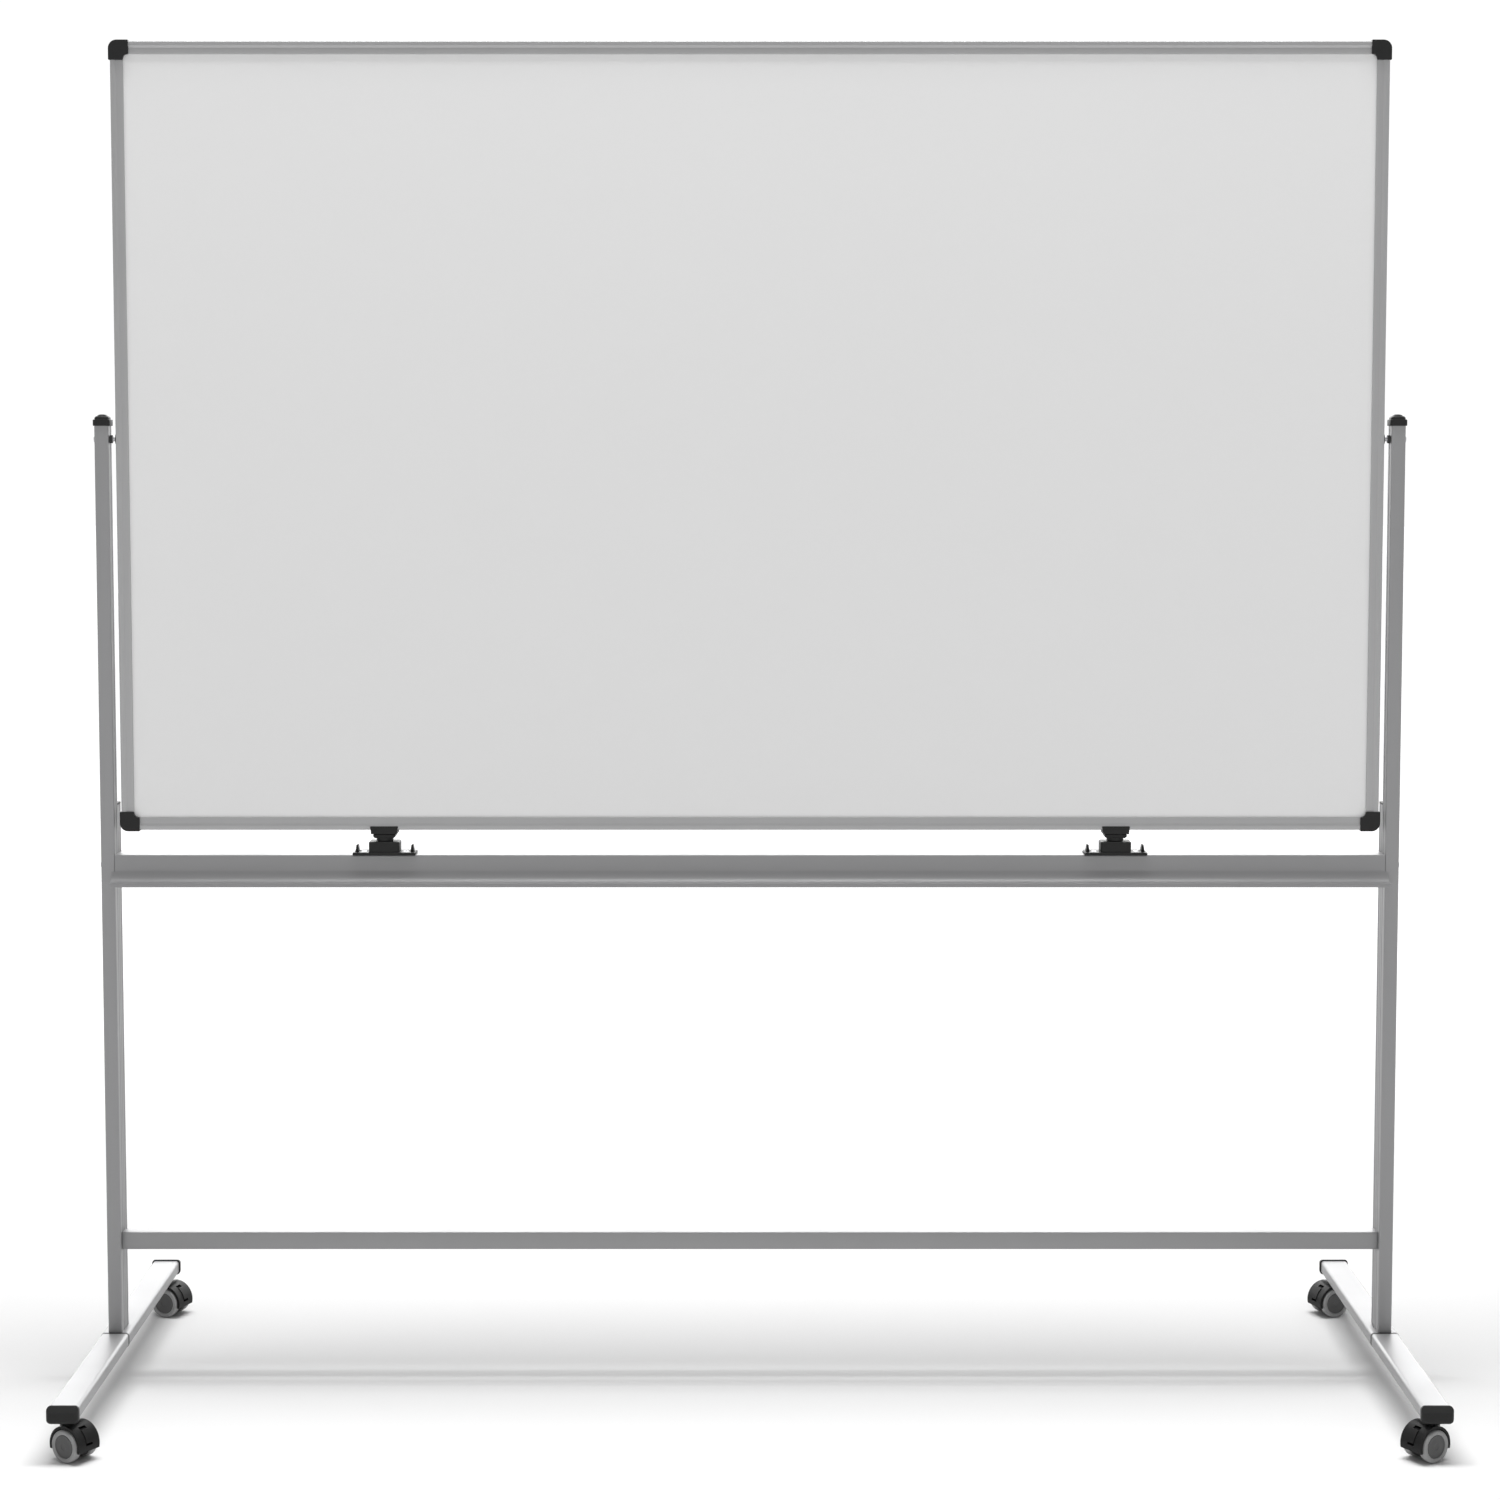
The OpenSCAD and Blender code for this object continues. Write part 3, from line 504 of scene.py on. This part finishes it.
def tray():
    """The beam's section is split at the gutter, which runs on past the box in front of the legs."""
    r, t = GUTTER_R, SHEET
    cy, cz = BEAM_FRONT - r, BEAM_TOP - GUTTER_DROP
    split = BEAM_FRONT - 0.2 * MM
    a_in = -math.acos((split - cy) / r)
    a_out = -math.acos((split - cy) / (r + t))
    a_front = -math.acos(r / (r + t))
    bed, lip_y = cz - r, BEAM_FRONT - GUTTER_REACH
    gutter = arc(cy, cz, r, a_in, -math.pi / 2, 14)
    gutter += [(lip_y + t, bed, 0.9 * MM), (lip_y + t, bed + LIP_H, 0.95 * MM),
               (lip_y, bed + LIP_H, 0.95 * MM), (lip_y, bed - t, 1.0 * MM)]
    gutter = rounded(gutter + arc(cy, cz, r + t, -math.pi / 2, a_out, 14), steps=4)
    bottom = BEAM_TOP - BEAM_H
    body = [tuple(gutter[-1]), (BEAM_FRONT, cz + (r + t) * math.sin(a_front)), (BEAM_FRONT, bottom),
            (BEAM_BACK, bottom, 1.6 * MM), (BEAM_BACK, BEAM_TOP, 1.6 * MM), (BEAM_FRONT, BEAM_TOP, 2.2 * MM)]
    body = rounded(body + arc(cy, cz, r, 0, a_in, 4)[:-1] + [tuple(gutter[0])], steps=6)
    spans = ((-GUTTER_HALF, -BEAM_HALF), (-BEAM_HALF, BEAM_HALF), (BEAM_HALF, GUTTER_HALF))
    bm = bmesh.new()

    def face(points):
        bm.faces.new([bm.verts.new(p) for p in points])

    def wall(a, b, x0, x1):
        face(((x0, *a), (x0, *b), (x1, *b), (x1, *a)))

    for sign in (-1, 1):
        face([(sign * GUTTER_HALF, *p) for p in gutter])
        face([(sign * BEAM_HALF, *p) for p in body])
    for a, b in zip(gutter, gutter[1:]):
        for x0, x1 in spans:
            wall(a, b, x0, x1)
    for a, b in zip(body, body[1:]):
        wall(a, b, *spans[1])
    for x0, x1 in (spans[0], spans[2]):
        wall(gutter[0], gutter[-1], x0, x1)
    return finish_mesh(bm, "tray_beam_section")


dress(tray(), "stand", "stand_tube", COAT, "tray_beam")


def lower_crossbar():
    """The square tube between the legs, low down."""
    lo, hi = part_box("lower_crossbar")
    bar = prism("lower_crossbar_tube", rectangle(hi.y - lo.y, hi.z - lo.z, 1.8 * MM), lo.x, hi.x,
                place((0, (lo.y + hi.y) / 2, (lo.z + hi.z) / 2), Y, Z))
    dress(bar, "stand", "stand_tube", COAT, "lower_crossbar")


def foot_cap(name, centre, sy):
    """A rounded block at a foot's end, cut to a profile whose top slopes down towards that end."""
    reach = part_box("foot_end_caps")[1].y
    back, bottom, top, wide = -20 * MM, -13 * MM, 12 * MM, 30 * MM
    past = reach + 1 * MM
    cap = pillow(name, 24 * MM, 44 * MM, 6 * MM, reach - 10 * MM, reach, place(centre, Z, (sy, 0, 0)),
                 0.7 * MM, 5 * MM)
    profile = rounded([(back, bottom), (past, bottom), (past, 3 * MM), (reach, 4 * MM, 2 * MM),
                       (reach - 8 * MM, top, 4 * MM), (back, top)], steps=6)
    profile = prism("slope", profile, -wide, wide, place(centre, (0, sy, 0), Z))
    boolean(cap, profile, "INTERSECT")
    shade(cap.data)
    dress(cap, "stand", "black_cap", BLACK, "foot_end_caps")


def foot(side):
    """The front and rear tubes with their end caps, and the joiner's collar between them."""
    for end, sy in (("front", -1), ("rear", 1)):
        node = "foot_%s_%s" % (end, side)
        lo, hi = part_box(node)
        centre = ((lo.x + hi.x) / 2, 0, (lo.z + hi.z) / 2)
        tube = prism(node + "_tube", rectangle(hi.z - lo.z, hi.x - lo.x, 4.5 * MM, 7), lo.y, hi.y,
                     place(centre, Z, X))
        # the tubes take the copy of the coat that is painted a shade lighter for their bright tops
        dress(tube, "stand", "stand_tube", FOOT_COAT_PAINTED_LIGHTER, node)
        foot_cap("foot_cap_%s_%s" % (end, side), centre, sy)
    gap_front, gap_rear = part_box("foot_front_" + side)[1].y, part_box("foot_rear_" + side)[0].y
    lip = 3.5 * MM
    collar = prism("foot_collar_" + side, rectangle(20.6 * MM, 40.6 * MM, 4.8 * MM, 7), gap_front - lip,
                   gap_rear, place(centre, Z, X))
    dress(collar, "stand", "black_cap", BLACK, "foot_joiners")


lower_crossbar()
for side, _ in SIDES:
    foot(side)


# ---- latches ----

PLATE_HALF, PLATE_DEPTH, PLATE_T = 45 * MM, 17 * MM, 3.9 * MM
SCREW_X = 30 * MM
BLOCK_TOP = 19 * MM
BORE_R = 9.15 * MM
NECK_R = 9 * MM
RING_R = 12 * MM
RING_UP = 19.4 * MM     # the ring's underside above the beam, just clear of the block
HEAD_T = 4.4 * MM       # from the neck's end to the head's top


def latch_plate(side, base, at):
    """The base plate with its two countersunk screw holes."""
    outline = rounded([(-PLATE_HALF, 0, 1 * MM), (PLATE_HALF, 0, 1 * MM),
                       (PLATE_HALF - 0.4 * MM, PLATE_T, 1.6 * MM),
                       (-PLATE_HALF + 0.4 * MM, PLATE_T, 1.6 * MM)])
    plate = prism("latch_plate_" + side, outline, -PLATE_DEPTH, PLATE_DEPTH, at, edge=0.8 * MM)
    apply_all(plate)
    shank_r, sink_r = 2.1 * MM, 4.2 * MM
    hole = [(0, -2 * MM), (shank_r, -2 * MM), (shank_r, 1.6 * MM), (sink_r, 3.2 * MM), (sink_r, 9 * MM),
            (0, 9 * MM)]
    for k in (-1, 1):
        boolean(plate, lathe("hole", hole, Matrix.Translation(base + X * (k * SCREW_X)), 48), "DIFFERENCE")
    shade(plate.data)
    dress(plate, "stand", "latch_plastic", BLACK, "latch_bases")


def latch_ear(side, k, sx, at):
    """A tapering ear that stands near one end of the plate."""
    outline = rounded([(42.2 * MM, 3 * MM, 0.2 * MM), (40.5 * MM, 14.1 * MM, 1.0 * MM),
                       (38.3 * MM, 14.1 * MM, 1.0 * MM), (36.7 * MM, 3 * MM, 0.2 * MM)])
    outline = [Vector((k * p.x, p.y)) for p in outline]
    tag = "out" if k == sx else "in"
    ear = prism("latch_ear_%s_%s" % (side, tag), outline, -6 * MM, 6 * MM, at, edge=0.6 * MM)
    dress(ear, "stand", "latch_plastic", BLACK)


def latch_block(side, base):
    """The block on the plate, bored for the head's neck."""
    block = pillow("latch_block_" + side, 44 * MM, 30 * MM, 4 * MM, 3.5 * MM, BLOCK_TOP,
                   Matrix.Translation(base), 0.3 * MM, 1.6 * MM)
    bore = lathe("bore", [(0, 5 * MM), (BORE_R, 5 * MM), (BORE_R, 18 * MM), (10.2 * MM, 19.4 * MM),
                          (10.2 * MM, 25 * MM), (0, 25 * MM)], Matrix.Translation(base), 64)
    boolean(block, bore, "DIFFERENCE")
    shade(block.data)
    dress(block, "stand", "latch_plastic", BLACK)


def latch_head(side, x):
    """The sliding part: a round neck with a wider ring, and the head that locks into the shoe."""
    node = "latch_head_" + side
    lo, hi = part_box(node)
    ring, ring_end = BEAM_TOP + RING_UP, hi.z - HEAD_T
    bevel = 0.6 * MM
    profile = [(0, lo.z), (8.4 * MM, lo.z), (NECK_R, lo.z + 0.8 * MM), (NECK_R, ring),
               (RING_R - bevel, ring), (RING_R, ring + bevel), (RING_R, ring_end), (0, ring_end)]
    neck = lathe("latch_neck_" + side, profile, Matrix.Translation((x, PIVOT.y, 0)), 64)
    dress(neck, "latch_" + side, "latch_plastic", BLACK, node)
    # the head's section is drawn in millimetres
    outline = rounded([(-13, -5.2, 0.6), (13, -5.2, 0.6), (15.6, -3.4, 1.2), (16, 0, 0.8),
                       (-16, 0, 0.8), (-15.6, -3.4, 1.2)], steps=4)
    head = prism("latch_head_top_" + side, [p * MM for p in outline], -11 * MM, 11 * MM,
                 place((x, PIVOT.y, hi.z), X, Z), edge=0.7 * MM)
    dress(head, "latch_" + side, "latch_plastic", BLACK)


def strike_shoe(side, x):
    """The shoe on the board that this latch's head locks into."""
    edge = PIVOT.z - BOARD_H / 2
    lo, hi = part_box("strike_shoes")
    foot_half, waist_half, top_half = 18.5 * MM, 19.2 * MM, 20 * MM
    outline = rounded([(-foot_half, lo.z - edge, 0.6 * MM), (foot_half, lo.z - edge, 0.6 * MM),
                       (waist_half, 1 * MM, 2 * MM), (top_half, hi.z - edge, 0.9 * MM),
                       (-top_half, hi.z - edge, 0.9 * MM), (-waist_half, 1 * MM, 2 * MM)], steps=4)
    shoe = prism("strike_shoe_" + side, outline, lo.y - PIVOT.y, hi.y - PIVOT.y,
                 place((x, PIVOT.y, edge), X, Z), edge=0.7 * MM)
    pocket = prism("pocket", rectangle(34 * MM, 24 * MM, 1 * MM), lo.z - 2 * MM, lo.z + 4.8 * MM,
                   Matrix.Translation((x, PIVOT.y, 0)))
    apply_all(shoe)
    boolean(shoe, pocket, "DIFFERENCE")
    shade(shoe.data)
    dress(shoe, "board", "latch_plastic", BLACK, "strike_shoes")


def latch(side, sx):
    """One latch on the tray beam and its shoe on the board."""
    lo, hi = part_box("latch_head_" + side)
    x = (lo.x + hi.x) / 2
    base = Vector((x, PIVOT.y, BEAM_TOP))
    at = place(base, X, Z)
    latch_plate(side, base, at)
    for k in (-1, 1):
        latch_ear(side, k, sx, at)
    latch_block(side, base)
    latch_head(side, x)
    strike_shoe(side, x)


for side, sx in SIDES:
    latch(side, sx)


# ---- casters ----
# A caster is drawn in millimetres in its own frame: the stem stands at x = 0, the axle runs along Y.

TRAIL = 13            # from the stem to the axle
WHEEL_R = 22.5
HOOD_R = 27.5
HOOD_HALF = 19        # half of the hood's width
WEB_HALF = 8          # half of the wall between the wheels
AXLE_R = 3.05         # radius of the bores for the axle
PEDAL_HALF = 5.6      # half of the brake lever's width
FAR = 60              # past every face of a caster


def axle_frame():
    """Matrix whose local z runs along the caster's axle."""
    return place((TRAIL * MM, 0, WHEEL_R * MM), Z, X)


def on_axle(r, y0, y1, segments=96):
    """A solid cylinder about the axle."""
    return lathe("part", cylinder(r * MM, y0 * MM, y1 * MM), axle_frame(), segments)


def box(x0, y0, z0, x1, y1, z1):
    """A plain block between two corners."""
    outline = [(x0 * MM, y0 * MM), (x1 * MM, y0 * MM), (x1 * MM, y1 * MM), (x0 * MM, y1 * MM)]
    return prism("part", outline, z0 * MM, z1 * MM)


def hood():
    """The cover over both wheels, with the stem's barrel, the axle's bore and the brake's pocket."""
    skirt, web_bottom, above = 16, 6, 90
    shell = boolean(on_axle(HOOD_R, -HOOD_HALF, HOOD_HALF),
                    box(TRAIL - FAR, -FAR, skirt, TRAIL + FAR, FAR, above), "INTERSECT")
    web = boolean(on_axle(WHEEL_R - 2, -WEB_HALF, WEB_HALF),
                  box(TRAIL - FAR, -FAR, web_bottom, TRAIL + FAR, FAR, above), "INTERSECT")
    barrel = lathe("part", [(0, 35 * MM), (10 * MM, 35 * MM), (10 * MM, 54 * MM), (9.4 * MM, 54.6 * MM),
                            (0, 54.6 * MM)], None, 64)
    body = boolean(boolean(shell, web, "UNION"), barrel, "UNION")
    for side in (-1, 1):
        wheel_room = on_axle(WHEEL_R + 1.3, *sorted((side * WEB_HALF, side * 40)))
        body = boolean(body, wheel_room, "DIFFERENCE")
    body = boolean(body, on_axle(AXLE_R, -40, 40, 48), "DIFFERENCE")
    stem_bore = lathe("part", cylinder(4.05 * MM, 36 * MM, 70 * MM), None, 48)
    body = boolean(body, stem_bore, "DIFFERENCE")
    pocket = boolean(on_axle(HOOD_R + 5, -6, 6), on_axle(WHEEL_R - 9.5, -9, 9), "DIFFERENCE")
    pocket = boolean(pocket, box(TRAIL + 6, -7, WHEEL_R + 1.5, TRAIL + 46, 7, WHEEL_R + 24.5),
                     "INTERSECT")
    body = boolean(body, pocket, "DIFFERENCE")
    body.name = "hood_master"
    return soften(body, 0.5 * MM, 2, 30)


def brake():
    """The brake lever: a curved paddle, its arm, and the boss with the pin that it turns on."""
    x, z = TRAIL + 18.5, WHEEL_R + 7      # where it turns
    half = PEDAL_HALF
    paddle = boolean(on_axle(HOOD_R + 0.9, -half, half), on_axle(HOOD_R - 3, -9, 9), "DIFFERENCE")
    paddle = boolean(paddle, box(TRAIL + 10, -7, z - 2, TRAIL + 40, 7, z + 14.5), "INTERSECT")
    arm = boolean(box(x, -half, z - 1.5, x + 7.5, half, z + 2.5), on_axle(HOOD_R - 2.5, -9, 9), "INTERSECT")
    at = place((x * MM, 0, z * MM), Z, X)
    boss = lathe("part", cylinder(3 * MM, -half * MM, half * MM), at, 48)
    pin = lathe("part", cylinder(1.5 * MM, -7.6 * MM, 7.6 * MM), at, 32)
    body = boolean(boolean(boolean(paddle, arm, "UNION"), boss, "UNION"), pin, "UNION")
    body.name = "brake_master"
    return soften(body, 0.35 * MM, 2, 30)


def wheel():
    """Hub and tyre of the wheel towards -Y."""
    tyre_in = 16
    hub = [(AXLE_R, -19.3), (AXLE_R, -9.3), (13.5, -9.3), (tyre_in, -9.9), (tyre_in, -20.2), (15.6, -20.8),
           (14.7, -21.0), (14.1, -20.7), (13.6, -20.5), (10, -20.8), (5, -21.05), (4.6, -21.05),
           (4.2, -20.7), (2, -20.6), (0, -20.6), (0, -19.3)]
    tyre = [(tyre_in + 0.05, -9.9), (20.6, -9.9), (21.7, -10.3), (22.3, -11), (WHEEL_R, -12),
            (WHEEL_R, -18.4), (22.3, -19.6), (21.7, -20.6), (20.9, -21.2), (20.1, -21.45),
            (17.6, -21.2), (16.6, -20.9), (tyre_in + 0.05, -20.5)]
    return (lathe("hub_master", [(r * MM, y * MM) for r, y in hub], axle_frame(), 96),
            lathe("tyre_master", [(r * MM, y * MM) for r, y in tyre], axle_frame(), 128))


def caster_frame(corner):
    """Matrix from the caster's own frame to its place: +Y along its axle, +X towards its wheels."""
    origin = Vector(JOINTS["swivel_" + corner]["pos_m"])
    roll = JOINTS["roll_" + corner + "_outer"]
    trailing = Vector((*(Vector(roll["pos_m"]) - origin).xy, 0)).normalized()
    m = Matrix((trailing, Vector(roll["axis"]), Z)).transposed().to_4x4()
    m.translation = Vector((origin.x, origin.y, 0))
    return m


masters = hood(), brake(), *wheel()
hood_master, brake_master, hub_master, tyre_master = masters
mirrored_y = Matrix.Diagonal((1, -1, 1, 1))
for corner in CORNERS:
    m = caster_frame(corner)
    piece = copy_of(hood_master, "caster_hood_" + corner, m)
    dress(piece, "caster_" + corner, "caster_hood", HOOD, "hood_" + corner)
    piece = copy_of(brake_master, "brake_pedal_" + corner, m)
    dress(piece, "brake_" + corner, "brake_plastic", HOOD, "brake_lever_" + corner)
    for which, mirror in (("outer", Matrix.Identity(4)), ("inner", mirrored_y)):
        tag = corner + "_" + which
        piece = copy_of(hub_master, "wheel_hub_" + tag, m @ mirror)
        dress(piece, "wheel_" + tag, "wheel_hub", HUB, "hub_" + tag)
        piece = copy_of(tyre_master, "wheel_tyre_" + tag, m @ mirror)
        dress(piece, "wheel_" + tag, "wheel_tyre", TREAD, "tyre_" + tag)
for obj in masters:
    bpy.data.objects.remove(obj)


# ---- room, light and camera ----

FLOOR_HALF = 40
GLOW_START = 1.3          # distance from the stand's middle at which the floor begins to glow
GLOW_END = 4.5            # and at which it glows fully
GLOW = 0.75
AROUND_LIT = 0.34         # strength of the surroundings as they light surfaces
AHEAD_MIRRORED = 0.58     # as surfaces mirror them, ahead of the stand
BEHIND_MIRRORED = 5.2     # and behind it
BACKDROP = 1.05           # as the camera sees them
# level surfaces mirror a lit band that stands a little above the horizon: height and brightness
MIRRORED_BAND = ((0.02, 0.3), (0.12, 1.0), (0.3, 1.0), (0.6, 0.8))
LIGHT_TARGET = (0, 0, 0)
CAMERA_AT = (0, -4.232, 1.377)
CAMERA_DOWN = 4.18        # degrees below level
LENS, SENSOR = 71.06, 36   # millimetres
CAMERA_SHIFT = -1 / 15    # of the frame's width, downwards


def floor():
    """A pale sweep that is lit evenly away from the stand, so that it stays white to the horizon."""
    bm = bmesh.new()
    bmesh.ops.create_grid(bm, x_segments=1, y_segments=1, size=FLOOR_HALF)
    obj = finish_mesh(bm, "floor")
    mat = shader("pale_floor", (0.8, 0.8, 0.8), roughness=0.8, specular=0.2, grain=200, bump=0.05,
                 tone=0.01, rough_span=0.05, blotch=1.0)
    nodes, link = mat.node_tree.nodes, mat.node_tree.links.new
    reach = nodes.new("ShaderNodeVectorMath")
    reach.operation = "LENGTH"
    link(nodes["Texture Coordinate"].outputs["Object"], reach.inputs[0])
    glow = nodes.new("ShaderNodeMapRange")
    set_inputs(glow, From_Min=GLOW_START, From_Max=GLOW_END, To_Min=0.0, To_Max=GLOW)
    link(reach.outputs["Value"], glow.inputs["Value"])
    bsdf = nodes["Principled BSDF"]
    set_inputs(bsdf, Emission_Color=(1, 1, 1, 1))
    link(glow.outputs["Result"], bsdf.inputs["Emission Strength"])
    obj.data.materials.append(mat)


def world():
    """Even surroundings; surfaces mirror them darker ahead of the stand and brighter behind it."""
    w = bpy.data.worlds.new("studio")
    bpy.context.scene.world = w
    w.use_nodes = True
    nodes, link = w.node_tree.nodes, w.node_tree.links.new
    back = nodes["Background"]
    coords = nodes.new("ShaderNodeTexCoord")
    split = nodes.new("ShaderNodeSeparateXYZ")
    link(coords.outputs["Generated"], split.inputs["Vector"])
    depth = nodes.new("ShaderNodeMapRange")
    set_inputs(depth, From_Min=0.4, From_Max=0.9, To_Min=AHEAD_MIRRORED, To_Max=BEHIND_MIRRORED)
    link(split.outputs["Y"], depth.inputs["Value"])
    height = nodes.new("ShaderNodeValToRGB")
    stops = height.color_ramp.elements
    stops[0].position = MIRRORED_BAND[0][0]
    stops[1].position = MIRRORED_BAND[-1][0]
    for up, _ in MIRRORED_BAND[1:-1]:
        stops.new(up)
    for stop, (_, level) in zip(stops, MIRRORED_BAND):
        stop.color = (level, level, level, 1)
    link(split.outputs["Z"], height.inputs["Fac"])
    mirrored = nodes.new("ShaderNodeMath")
    mirrored.operation = "MULTIPLY"
    link(depth.outputs["Result"], mirrored.inputs[0])
    link(height.outputs["Color"], mirrored.inputs[1])
    path = nodes.new("ShaderNodeLightPath")
    lit = nodes.new("ShaderNodeMix")
    link(path.outputs["Is Glossy Ray"], lit.inputs["Factor"])
    set_inputs(lit, A=AROUND_LIT)
    link(mirrored.outputs["Value"], lit.inputs["B"])
    seen = nodes.new("ShaderNodeMix")
    link(path.outputs["Is Camera Ray"], seen.inputs["Factor"])
    link(lit.outputs["Result"], seen.inputs["A"])
    set_inputs(seen, B=BACKDROP)
    link(seen.outputs["Result"], back.inputs["Strength"])
    set_inputs(back, Color=(1, 1, 1, 1))


def area(name, location, size, power, mirrored=True):
    """A soft box; one that isn't mirrored lights surfaces but leaves no highlight on them."""
    data = bpy.data.lights.new(name, "AREA")
    data.shape = "RECTANGLE"
    data.size, data.size_y = size
    data.energy = power
    obj = bpy.data.objects.new(name, data)
    bpy.context.collection.objects.link(obj)
    obj.location = location
    obj.rotation_euler = (Vector(LIGHT_TARGET) - Vector(location)).to_track_quat("-Z", "Y").to_euler()
    obj.visible_glossy = mirrored


def camera():
    """The photograph's view."""
    cam = bpy.data.objects.new("camera", bpy.data.cameras.new("camera"))
    bpy.context.collection.objects.link(cam)
    cam.location = CAMERA_AT
    cam.rotation_euler = (math.radians(90 - CAMERA_DOWN), 0, 0)
    cam.data.sensor_width = SENSOR
    cam.data.lens = LENS
    cam.data.shift_y = CAMERA_SHIFT
    cam.data.clip_end = 200
    bpy.context.scene.camera = cam


floor()
world()
area("key_above", (0, -0.22, 5.2), (4.6, 1.35), 235, mirrored=False)
area("sheen_above", (0, -0.2, 5.25), (3.0, 1.2), 70)
camera()
bpy.context.scene.view_settings.view_transform = "Standard"
